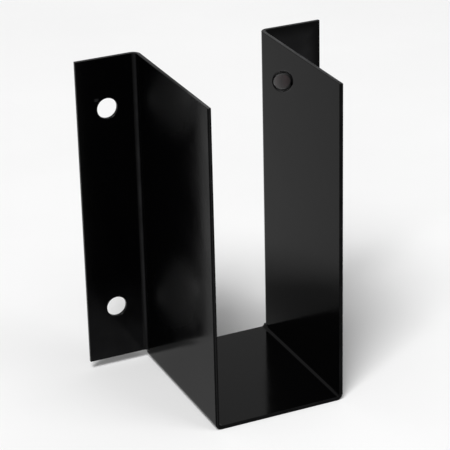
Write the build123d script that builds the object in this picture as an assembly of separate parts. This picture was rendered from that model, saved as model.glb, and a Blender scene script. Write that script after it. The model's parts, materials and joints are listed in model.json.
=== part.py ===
from build123d import *
import os

# A U bracket folded from one blank of sheet steel. Two walls stand on a seat that
# carries the end of a 38 mm thick timber, and a flange turned out from the back of
# each wall is screwed to the beam or post behind.
#
# Frame: millimetres, +Z up, +X across the bracket, +Y towards the beam. The origin
# is on the plane that the seat stands on, under the middle of the bracket.

# ---- Driving dimensions ---------------------------------------------------------
sheet = 1.2                # thickness of the steel
timber_gap = 39.7          # clear width between the walls
height = 101.6             # underside of the seat to the top of the walls
depth = 53.0               # back of the flanges to the front edges of the walls
flange_width = 19.0        # outer face of a wall to the free edge of its flange
seat_fold_radius = 0.9     # inside radius of the folds between the seat and the walls
flange_fold_radius = 1.4   # inside radius of the folds between the walls and the flanges
relief_gap = 0.7           # slit between the fold of a flange and the fold of the seat
seat_setback = 0.6         # the seat stops this far short of the beam
edge_round = 0.15          # deburred and coated edges

hole_diameter = 6.4        # close fit on an M6 screw
hole_from_top = 16.0       # upper holes to the top of the flanges
hole_spacing = 65.6        # upper holes to lower holes

pad_length = 13.0          # oval pad coined into the right wall, which grips the timber
pad_width = 4.5
pad_slant = 22.5           # degrees that its long axis rises towards the front
pad_rise = 0.2             # height of the pad, and depth of the hollow behind it
pad_from_back = 16.3       # centre of the pad to the back of the flanges
pad_from_top = 11.3        # centre of the pad to the top of the wall
groove_depth = 0.4         # groove that the die leaves round the foot of the pad
groove_floor = 0.1         # width of its flat bottom
slope_width = 0.45         # width of each sloping side of the pad, the groove and the hollow
pressed_round = 0.4        # soft rims of the pad, the groove and the hollow

# ---- Places that follow from them -----------------------------------------------
seat_fold_outside = seat_fold_radius + sheet
flange_fold_outside = flange_fold_radius + sheet
wall_inside = timber_gap / 2
wall_middle = wall_inside + sheet / 2
wall_outside = wall_inside + sheet
flange_edge = wall_outside + flange_width
flange_bottom = seat_fold_outside + relief_gap
back = depth / 2
front = back - depth
seat_back = back - seat_setback
fold_start = back - flange_fold_outside
tolerance = 0.01


def folded_strip(corners, inside_radius, section_plane, length):
    """Sheet that follows a line of corners, with a fold at each, and runs for a length."""
    middle_line = FilletPolyline(*corners, radius=inside_radius + sheet / 2)
    return extrude(section_plane * trace(middle_line, sheet), amount=length)


def u_channel():
    """Seat, its two folds and the walls, all run back to the rear edge of the seat."""
    looking_forward = Plane(origin=(0, seat_back, 0), x_dir=(1, 0, 0), z_dir=(0, -1, 0))
    corners = [
        (-wall_middle, height),
        (-wall_middle, sheet / 2),
        (wall_middle, sheet / 2),
        (wall_middle, height),
    ]
    return folded_strip(corners, seat_fold_radius, looking_forward, seat_back - front)


def room_for_flanges():
    """What the walls lose at the back, where the folds of the flanges take over."""
    low_front = (Align.CENTER, Align.MIN, Align.MIN)
    block = Box(4 * wall_outside, 2 * flange_fold_outside, height, align=low_front)
    return Pos(0, fold_start, seat_fold_outside) * block


def flange(side):
    """Flange turned out from the back of one wall, with its fold."""
    corners = [
        (side * wall_middle, fold_start - flange_fold_outside),
        (side * wall_middle, back - sheet / 2),
        (side * flange_edge, back - sheet / 2),
    ]
    lower_end = Plane.XY.offset(flange_bottom)
    return folded_strip(corners, flange_fold_radius, lower_end, height - flange_bottom)


def relief_slits():
    """Round-ended slits through both walls, so that the flanges fold clear of the seat."""
    slit_end = fold_start - relief_gap / 2
    slit = Box(4 * wall_outside, 2 * (back - slit_end), relief_gap)
    round_end = Rot(0, 90, 0) * Cylinder(relief_gap / 2, 4 * wall_outside)
    slit_height = seat_fold_outside + relief_gap / 2
    return Pos(0, slit_end, slit_height) * round_end + Pos(0, back, slit_height) * slit


def screw_holes():
    """Four holes in a rectangle, on the middle lines of the flanges."""
    across = wall_outside + flange_edge
    middle = (0, back, height - hole_from_top - hole_spacing / 2)
    looking_forward = Plane(origin=middle, x_dir=(1, 0, 0), z_dir=(0, -1, 0))
    drill = Cylinder(hole_diameter / 2, 4 * sheet)
    return looking_forward * GridLocations(across, hole_spacing, 2, 2) * drill


def pad_outline(x, margin):
    """Slanted oval at x, facing the timber, wider than the pad by a margin all round."""
    centre = (x, back - pad_from_back, height - pad_from_top)
    facing_timber = Plane(origin=centre, x_dir=(0, 1, 0), z_dir=(-1, 0, 0))
    oval = Ellipse(pad_length / 2 + margin, pad_width / 2 + margin, rotation=pad_slant)
    return facing_timber * oval


def groove_pocket():
    """Pocket that the pad stands in, wide enough to leave a groove all round it."""
    mouth = pad_outline(wall_inside, 2 * slope_width + groove_floor)
    floor = pad_outline(wall_inside + groove_depth, slope_width + groove_floor)
    return loft([mouth, floor])


def grip_pad():
    """The pad, from the floor of its pocket to its flat crown."""
    foot = pad_outline(wall_inside + groove_depth, slope_width)
    crown = pad_outline(wall_inside - pad_rise, 0)
    return loft([foot, crown])


def pad_hollow():
    """Hollow that the punch leaves in the outer face, opposite the pad."""
    mouth = pad_outline(wall_outside, 0)
    floor = pad_outline(wall_outside - pad_rise, -slope_width)
    return loft([mouth, floor])


def hole_rims(body):
    """Circular edges of the screw holes, on both faces of the flanges."""
    circles = body.edges().filter_by(GeomType.CIRCLE)
    return circles.filter_by(lambda edge: abs(edge.radius - hole_diameter / 2) < tolerance)


def pressed_rims(body):
    """Oval edges of the crown, the groove and the hollow, on the faces that they rise from."""
    ovals = body.edges().filter_by(GeomType.ELLIPSE)
    rims = ShapeList()
    for place in (wall_inside - pad_rise, wall_inside, wall_outside):
        rims += ovals.filter_by_position(Axis.X, place - tolerance, place + tolerance)
    return rims


def sheared_edges(body):
    """Both long edges of each face that the shears left round the blank."""
    cuts = [
        (Axis.Z, height),
        (Axis.Z, flange_bottom),
        (Axis.Y, front),
        (Axis.Y, seat_back),
        (Axis.X, flange_edge),
        (Axis.X, -flange_edge),
    ]
    edges = ShapeList()
    for axis, place in cuts:
        flat_faces = body.faces().filter_by(axis)
        cut_faces = flat_faces.filter_by_position(axis, place - tolerance, place + tolerance)
        edges += cut_faces.edges().filter_by(lambda edge: edge.length > sheet + tolerance)
    return edges


bracket = u_channel() - room_for_flanges() + flange(-1) + flange(1) - relief_slits()
bracket -= screw_holes()
bracket = fillet(sheared_edges(bracket), edge_round)
bracket = chamfer(hole_rims(bracket), edge_round)
bracket = bracket - groove_pocket() + grip_pad() - pad_hollow()
bracket = fillet(pressed_rims(bracket), pressed_round)

os.makedirs("parts", exist_ok=True)
export_step(bracket, "parts/u_bracket.step")
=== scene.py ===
import bpy
import json
import math
from mathutils import Matrix, Vector


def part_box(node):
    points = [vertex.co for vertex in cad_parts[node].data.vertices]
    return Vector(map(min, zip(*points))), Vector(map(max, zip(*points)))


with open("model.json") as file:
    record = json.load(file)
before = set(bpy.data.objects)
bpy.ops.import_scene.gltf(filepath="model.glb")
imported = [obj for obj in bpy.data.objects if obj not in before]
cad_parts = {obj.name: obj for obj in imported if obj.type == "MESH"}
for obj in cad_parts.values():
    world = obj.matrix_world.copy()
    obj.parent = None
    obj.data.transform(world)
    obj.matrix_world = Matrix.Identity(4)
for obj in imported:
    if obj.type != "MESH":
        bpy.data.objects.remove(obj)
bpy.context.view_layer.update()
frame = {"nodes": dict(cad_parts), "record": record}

# A U bracket folded from sheet steel and powder coated black. It stands on its seat
# on a pale floor. Lengths are in metres, in the bracket's own frame: +X across it,
# +Y towards the beam it is screwed to, +Z up.

MM = 0.001

bracket = frame["nodes"]["u_bracket"]
bracket_low, bracket_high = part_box("u_bracket")
centre = (bracket_low + bracket_high) / 2
screws = next(m for m in frame["record"]["mounts"] if m["name"] == "flange_screws")

sheet = 1.2 * MM
flange_width = 19.0 * MM
flange_fold_radius = 1.4 * MM
wall_outside = bracket_high.x - flange_width
wall_inside = wall_outside - sheet
flange_front = bracket_high.y - sheet

hole_x = screws["dims"]["spacing_x_mm"] / 2 * MM
hole_rise = screws["dims"]["spacing_y_mm"] / 2 * MM
hole_radius = screws["dims"]["hole_r_mm"] * MM
holes_middle = screws["pos_m"][2]

pad_length = 13.0 * MM
pad_width = 4.5 * MM
pad_slant = math.radians(22.5)
pad_y = bracket_high.y - 16.3 * MM
pad_z = bracket_high.z - 11.3 * MM


# ---- Shader helpers -------------------------------------------------------------

def add(tree, kind, inputs=None, **settings):
    """New node of a kind, with its settings, and values or links for its inputs."""
    made = tree.nodes.new(kind)
    for name, value in settings.items():
        setattr(made, name, value)
    for name, value in (inputs or {}).items():
        if isinstance(value, bpy.types.NodeSocket):
            tree.links.new(value, made.inputs[name])
        else:
            made.inputs[name].default_value = value
    return made


def maths(tree, operation, *values, clamp=False):
    """Result of one arithmetic step."""
    made = add(tree, "ShaderNodeMath", dict(enumerate(values)), operation=operation)
    made.use_clamp = clamp
    return made.outputs[0]


def chain(tree, operation, first, *others):
    """Result of the same arithmetic step with each of several values in turn."""
    result = first
    for value in others:
        result = maths(tree, operation, result, value)
    return result


def ramp(tree, value, low, high, at_low=0.0, at_high=1.0):
    """Smooth change from at_low to at_high while a value goes from low to high."""
    inputs = {
        "Value": value,
        "From Min": low,
        "From Max": high,
        "To Min": at_low,
        "To Max": at_high,
    }
    made = add(tree, "ShaderNodeMapRange", inputs, interpolation_type="SMOOTHSTEP")
    return made.outputs["Result"]


def noise(tree, place, wavelength, detail=2.0):
    """Smooth noise whose lumps are about a wavelength across."""
    inputs = {"Vector": place, "Scale": 1 / wavelength, "Detail": detail}
    return add(tree, "ShaderNodeTexNoise", inputs).outputs[0]


def uneven(tree, place, wavelength, low, high, detail=3.0):
    """Value that wanders between low and high, in patches about a wavelength across."""
    return ramp(tree, noise(tree, place, wavelength, detail), 0.3, 0.7, low, high)


def mixed(tree, share, first, second):
    """Colour that goes from the first to the second as the share goes from 0 to 1."""
    inputs = {"Factor": share, "A": first, "B": second}
    return add(tree, "ShaderNodeMix", inputs, data_type="RGBA").outputs["Result"]


def diagonal(tree, across, along):
    """Distance that two distances at right angles to each other make."""
    corner = add(tree, "ShaderNodeCombineXYZ", {"X": across, "Y": along})
    reach = add(tree, "ShaderNodeVectorMath", {0: corner.outputs[0]}, operation="LENGTH")
    return reach.outputs["Value"]


def new_material(name):
    """Empty material that is ready for nodes."""
    made = bpy.data.materials.new(name)
    made.use_nodes = True
    made.node_tree.nodes.clear()
    return made


# ---- Finish of the bracket ------------------------------------------------------

coat_black = (0.0006, 0.0006, 0.0007, 1.0)
# Grey of steel at the worn rims, also used for the painted highlights.
steel_and_highlight_grey = (0.10, 0.10, 0.105, 1.0)
# Lighter, warmer grey for the pad's crown.
crown_tint = (0.13, 0.08, 0.085, 1.0)
coat_roughness = 0.13
coat_specular_level = 0.044


def front_of_flanges(tree, axes):
    """1 on what lies before the middle of the flanges' thickness, 0 behind it."""
    return maths(tree, "LESS_THAN", axes["Y"], flange_front + sheet / 2)


def rim_nearness(tree, axes):
    """1 at the free edges of the sheet and at the rims of the screw holes, 0 beyond."""
    edge_width = 0.35 * MM
    top = maths(tree, "SUBTRACT", bracket_high.z, axes["Z"])
    front = maths(tree, "SUBTRACT", axes["Y"], bracket_low.y)
    side = maths(tree, "SUBTRACT", bracket_high.x, maths(tree, "ABSOLUTE", axes["X"]))

    from_middle = maths(tree, "SUBTRACT", axes["Z"], holes_middle)
    across = maths(tree, "SUBTRACT", maths(tree, "ABSOLUTE", axes["X"]), hole_x)
    upright = maths(tree, "SUBTRACT", maths(tree, "ABSOLUTE", from_middle), hole_rise)
    rim = maths(tree, "SUBTRACT", diagonal(tree, across, upright), hole_radius)
    nearest = chain(tree, "MINIMUM", top, front, side, maths(tree, "ABSOLUTE", rim))
    return ramp(tree, nearest, 0.0, edge_width, 1.0, 0.0)


def hole_painted_highlight(tree, place, axes):
    """1 in a small ragged mark by the upper hole of the left flange, in front, 0 beyond: a
    painted highlight beside the hole.
    """
    length, width, tooth = 1.1 * MM, 0.8 * MM, 0.6 * MM
    hole_mark_x = -hole_x - 1.05 * hole_radius
    hole_mark_z = holes_middle + hole_rise + hole_radius
    reach = diagonal(
        tree,
        maths(tree, "DIVIDE", maths(tree, "SUBTRACT", axes["X"], hole_mark_x), length),
        maths(tree, "DIVIDE", maths(tree, "SUBTRACT", axes["Z"], hole_mark_z), width),
    )
    ragged = maths(tree, "ADD", reach, noise(tree, place, tooth, detail=3.0))
    mark = ramp(tree, ragged, 0.8, 1.4, 1.0, 0.0)
    return maths(tree, "MULTIPLY", mark, front_of_flanges(tree, axes))


def fold_painted_highlight(tree, axes):
    """1 at the bottom of the folds between the walls and the flanges, 0 beyond: a painted
    highlight along the folds.
    """
    highlight_width = 0.9 * MM
    fold_rise = flange_fold_radius * (1 - math.cos(math.radians(45)))
    out_from_centre = maths(tree, "ABSOLUTE", axes["X"])
    across = maths(tree, "SUBTRACT", out_from_centre, wall_outside + fold_rise)
    along = maths(tree, "SUBTRACT", axes["Y"], flange_front - fold_rise)
    return ramp(tree, diagonal(tree, across, along), 0.0, highlight_width, 1.0, 0.0)


def flange_painted_sheen(tree, place, axes):
    """1 on the front of the right flange and low on the left one, 0 beyond: painted reflected
    light there.
    """
    edge_margin, full_inside = 0.5 * MM, 5 * MM
    left_bottom, left_top, left_share = 5 * MM, 32 * MM, 0.6
    from_top = maths(tree, "SUBTRACT", bracket_high.z, axes["Z"])
    from_side = maths(tree, "SUBTRACT", bracket_high.x, axes["X"])
    from_fold = maths(tree, "SUBTRACT", axes["X"], wall_outside)
    inset = chain(tree, "MINIMUM", from_side, from_top, from_fold)
    right_flange = ramp(tree, inset, edge_margin, full_inside)
    low = ramp(tree, axes["Z"], left_bottom, left_top, left_share, 0.0)
    left_side = maths(tree, "LESS_THAN", axes["X"], -wall_outside)
    # Where the flanges are drawn lighter as painted reflected light.
    thin = maths(tree, "MAXIMUM", right_flange, maths(tree, "MULTIPLY", left_side, low))
    patches = uneven(tree, place, 9 * MM, 0.5, 1.0)
    on_flange = ramp(tree, axes["Y"], flange_front - flange_fold_radius, flange_front)
    return chain(tree, "MULTIPLY", thin, patches, on_flange, front_of_flanges(tree, axes))


def right_top_painted_highlight(tree, axes):
    """1 on the outer part of the right wall's top edge, 0 beyond: a painted highlight there."""
    highlight_depth = 0.08 * MM
    on_top = maths(tree, "GREATER_THAN", axes["Z"], bracket_high.z - highlight_depth)
    outer = ramp(tree, axes["X"], wall_inside + 0.3 * sheet, wall_inside + 0.6 * sheet)
    on_wall = maths(tree, "LESS_THAN", axes["Y"], flange_front - flange_fold_radius)
    return chain(tree, "MULTIPLY", on_top, outer, on_wall)


def outer_side(tree, axes):
    """1 on the outer faces of the walls and on the flanges, 0 between the walls."""
    out_from_centre = maths(tree, "ABSOLUTE", axes["X"])
    return ramp(tree, out_from_centre, wall_outside - 0.7 * sheet, wall_outside - 0.3 * sheet)


def dry_patches(tree, place, axes):
    """1 in two soft patches on the outside of each wall, where less powder fell; 0 elsewhere."""
    patch_y = 2.4 * MM
    patches_middle = holes_middle + 10.9 * MM
    patch_rise = 31.4 * MM
    length, width, lean = 10 * MM, 7 * MM, 0.4
    full_reach, end_reach, raggedness = 0.2, 2.6, 0.08

    along = maths(tree, "SUBTRACT", axes["Y"], patch_y)
    slope = maths(tree, "MULTIPLY", along, lean)
    from_patches = [
        chain(tree, "ADD", axes["Z"], -patches_middle - rise, slope)
        for rise in (-patch_rise, patch_rise)
    ]
    up = maths(tree, "MINIMUM", *(maths(tree, "ABSOLUTE", gap) for gap in from_patches))
    reach = diagonal(
        tree,
        maths(tree, "DIVIDE", along, length),
        maths(tree, "DIVIDE", up, width),
    )
    reach = maths(tree, "ADD", reach, uneven(tree, place, 9 * MM, -raggedness, raggedness))
    dry = ramp(tree, reach, full_reach, end_reach, 1.0, 0.0)
    return maths(tree, "MULTIPLY", dry, outer_side(tree, axes))


def wall_bow(tree, axes):
    """How far the outer faces of the walls spring out towards the front, in metres."""
    front_bow = 0.21 * MM
    ahead = maths(tree, "DIVIDE", axes["Y"], bracket_low.y, clamp=True)
    bow = maths(tree, "MULTIPLY", maths(tree, "POWER", ahead, 2.0), front_bow)
    return maths(tree, "MULTIPLY", bow, outer_side(tree, axes))


def pad_reach(tree, axes):
    """0 in the middle of the pad's crown, 1 at its oval edge and everywhere off the pad."""
    back = maths(tree, "SUBTRACT", axes["Y"], pad_y)
    up = maths(tree, "SUBTRACT", axes["Z"], pad_z)
    cosine, sine = math.cos(pad_slant), math.sin(pad_slant)
    along = maths(
        tree,
        "SUBTRACT",
        maths(tree, "MULTIPLY", back, cosine),
        maths(tree, "MULTIPLY", up, sine),
    )
    across = maths(
        tree,
        "ADD",
        maths(tree, "MULTIPLY", back, sine),
        maths(tree, "MULTIPLY", up, cosine),
    )
    reach = diagonal(
        tree,
        maths(tree, "DIVIDE", along, pad_length / 2),
        maths(tree, "DIVIDE", across, pad_width / 2),
    )
    left_of_it = maths(tree, "LESS_THAN", axes["X"], 0.0)
    behind_it = maths(tree, "GREATER_THAN", axes["X"], wall_inside)
    elsewhere = maths(tree, "MAXIMUM", left_of_it, behind_it)
    return maths(tree, "MAXIMUM", elsewhere, maths(tree, "MINIMUM", reach, 1.0))


def wear_and_painted_highlights(tree, place, axes, broken, rubbed):
    """Share of the lighter grey in the coat, from 0 to 1: steel at the worn rims, and painted
    highlights.
    """
    at_rims, at_hole_highlight, at_top_highlight, at_flange_sheen = 0.025, 0.13, 0.5, 0.11
    # Painted highlight along the bottoms of the flange folds, lighter grey in patches.
    fold_highlight_share = uneven(tree, place, 7 * MM, 0.05, 0.11)
    return chain(
        tree,
        "MAXIMUM",
        maths(tree, "MULTIPLY", rubbed, at_rims),
        maths(tree, "MULTIPLY", hole_painted_highlight(tree, place, axes), at_hole_highlight),
        maths(tree, "MULTIPLY", fold_painted_highlight(tree, axes), fold_highlight_share),
        chain(tree, "MULTIPLY", right_top_painted_highlight(tree, axes), broken, at_top_highlight),
        maths(tree, "MULTIPLY", flange_painted_sheen(tree, place, axes), at_flange_sheen),
    )


def crown_lightening(tree, place, to_pad_edge):
    """Share of the pad's crown drawn in a lighter, warmer grey, 0 off the pad."""
    on_crown = ramp(tree, to_pad_edge, 0.8, 1.0, 1.0, 0.0)
    return maths(tree, "MULTIPLY", on_crown, uneven(tree, place, 3 * MM, 0.07, 0.18, detail=4.0))


def coat_relief(tree, place, axes, to_pad_edge):
    """Height of the coat's orange peel, the sheet's waves and bow and the pad's dome."""
    peel_height, wave_height, dome_height = 0.006 * MM, 0.036 * MM, 0.42 * MM
    peel = maths(tree, "MULTIPLY", noise(tree, place, 1.3 * MM, detail=1.0), peel_height)
    waves = maths(tree, "MULTIPLY", noise(tree, place, 22 * MM, detail=1.0), wave_height)
    dome = maths(tree, "MULTIPLY", maths(tree, "POWER", to_pad_edge, 2.0), -dome_height)
    return chain(tree, "ADD", peel, waves, wall_bow(tree, axes), dome)


def black_powder_coat():
    """Smooth semi-gloss powder coat: orange peel, thin on the edges, dry in patches, with
    painted highlights by the folds, the upper left hole, the right wall's top and the flanges.
    """
    material = new_material("black_powder_coat")
    tree = material.node_tree
    place = add(tree, "ShaderNodeTexCoord").outputs["Object"]
    axes = add(tree, "ShaderNodeSeparateXYZ", {0: place}).outputs

    broken = ramp(tree, noise(tree, place, 5 * MM, detail=4.0), 0.35, 0.7, 0.1, 1.0)
    rubbed = maths(tree, "MULTIPLY", rim_nearness(tree, axes), broken)
    to_pad_edge = pad_reach(tree, axes)
    rim_wear_and_highlights = wear_and_painted_highlights(tree, place, axes, broken, rubbed)
    # Steel at worn rims and painted highlights, in one lighter grey.
    colour = mixed(tree, rim_wear_and_highlights, coat_black, steel_and_highlight_grey)
    colour = mixed(tree, crown_lightening(tree, place, to_pad_edge), colour, crown_tint)

    rubbed_roughness, dry_roughness = 0.15, 0.45
    roughness = chain(
        tree,
        "ADD",
        uneven(tree, place, 14 * MM, -0.02, 0.02),
        coat_roughness,
        uneven(tree, place, 0.35 * MM, -0.02, 0.02, detail=2.0),
        maths(tree, "MULTIPLY", rubbed, rubbed_roughness),
        maths(tree, "MULTIPLY", dry_patches(tree, place, axes), dry_roughness),
    )

    relief = coat_relief(tree, place, axes, to_pad_edge)
    bump = add(tree, "ShaderNodeBump", {"Height": relief, "Distance": 1.0, "Strength": 1.0})
    surface = add(
        tree,
        "ShaderNodeBsdfPrincipled",
        {
            "Base Color": colour,
            "Roughness": roughness,
            "Specular IOR Level": coat_specular_level,
            "Normal": bump.outputs["Normal"],
        },
    )
    add(tree, "ShaderNodeOutputMaterial", {"Surface": surface.outputs[0]})
    return material


coat = black_powder_coat()
for slot in bracket.material_slots:
    slot.material = coat


# ---- Floor and light ------------------------------------------------------------

def pale_floor():
    """Round floor, wide enough to fill the view from any side above it."""
    radius = 6.0
    clearance = 0.05 * MM
    corners = 96
    ring = [
        (radius * math.cos(turn), radius * math.sin(turn), bracket_low.z - clearance)
        for turn in (2 * math.pi * step / corners for step in range(corners))
    ]
    mesh = bpy.data.meshes.new("floor")
    mesh.from_pydata(ring, [], [range(corners)])
    floor = bpy.data.objects.new("floor", mesh)
    bpy.context.scene.collection.objects.link(floor)

    material = new_material("pale_floor")
    tree = material.node_tree
    place = add(tree, "ShaderNodeTexCoord").outputs["Object"]
    mottle = noise(tree, place, 90 * MM, detail=4.0)
    shade = ramp(tree, mottle, 0.2, 0.8, 0.90, 0.93)
    colour = add(tree, "ShaderNodeCombineColor", {"Red": shade, "Green": shade, "Blue": shade})
    surface = add(
        tree,
        "ShaderNodeBsdfPrincipled",
        {"Base Color": colour.outputs[0], "Roughness": 0.9, "Specular IOR Level": 0.1},
    )
    add(tree, "ShaderNodeOutputMaterial", {"Surface": surface.outputs[0]})
    mesh.materials.append(material)


def direction(azimuth, elevation):
    """Unit vector from the bracket; azimuth 0 is in front of it and 90 on its right."""
    turn, rise = math.radians(azimuth), math.radians(elevation)
    return Vector((
        math.sin(turn) * math.cos(rise),
        -math.cos(turn) * math.cos(rise),
        math.sin(rise),
    ))


def soft_box(name, azimuth, elevation, distance, size, watts):
    """Square lamp that faces the bracket from an azimuth and an elevation."""
    lamp = bpy.data.lights.new(name, "AREA")
    lamp.shape = "SQUARE"
    lamp.size = size
    lamp.energy = watts
    holder = bpy.data.objects.new(name, lamp)
    bpy.context.scene.collection.objects.link(holder)
    towards_lamp = direction(azimuth, elevation)
    holder.location = centre + towards_lamp * distance
    holder.rotation_mode = "QUATERNION"
    holder.rotation_quaternion = (-towards_lamp).to_track_quat("-Z", "Y")


def studio_surround(level):
    """White surround for the eye and for reflections, at a plain level for its light."""
    world = bpy.data.worlds.new("studio")
    bpy.context.scene.world = world
    world.use_nodes = True
    tree = world.node_tree
    tree.nodes.clear()
    path = add(tree, "ShaderNodeLightPath").outputs
    seen = maths(tree, "MAXIMUM", path["Is Camera Ray"], path["Is Glossy Ray"])
    seen = maths(tree, "MAXIMUM", seen, path["Is Transmission Ray"])
    strength = ramp(tree, seen, 0.0, 1.0, level, 1.0)
    light = add(tree, "ShaderNodeBackground", {"Color": (1, 1, 1, 1), "Strength": strength})
    add(tree, "ShaderNodeOutputWorld", {"Surface": light.outputs[0]})


pale_floor()
studio_surround(level=0.3)
soft_box("key_light", azimuth=-42, elevation=54, distance=6.0, size=2.2, watts=300)
soft_box("edge_light", azimuth=42, elevation=56, distance=4.0, size=1.5, watts=25)


# ---- Camera ---------------------------------------------------------------------

def camera_from(azimuth, elevation, roll, distance, aim, lens):
    """Camera that looks at a point from an azimuth and an elevation, in degrees."""
    camera = bpy.data.objects.new("camera", bpy.data.cameras.new("camera"))
    bpy.context.scene.collection.objects.link(camera)
    bpy.context.scene.camera = camera
    camera.data.lens = lens
    towards_camera = direction(azimuth, elevation)
    turned = (-towards_camera).to_track_quat("-Z", "Y").to_matrix().to_4x4()
    place = Matrix.Translation(aim + towards_camera * distance)
    camera.matrix_world = place @ turned @ Matrix.Rotation(math.radians(roll), 4, "Z")
    camera.data.clip_start = distance / 100
    camera.data.clip_end = distance * 100


camera_from(
    azimuth=-24.15,
    elevation=24.44,
    roll=-1.38,
    distance=620.3 * MM,
    aim=centre + Vector((-3.76, 2.01, 0.66)) * MM,
    lens=166.2,
)


# ---- View transform -------------------------------------------------------------

bpy.context.scene.view_settings.view_transform = "Standard"
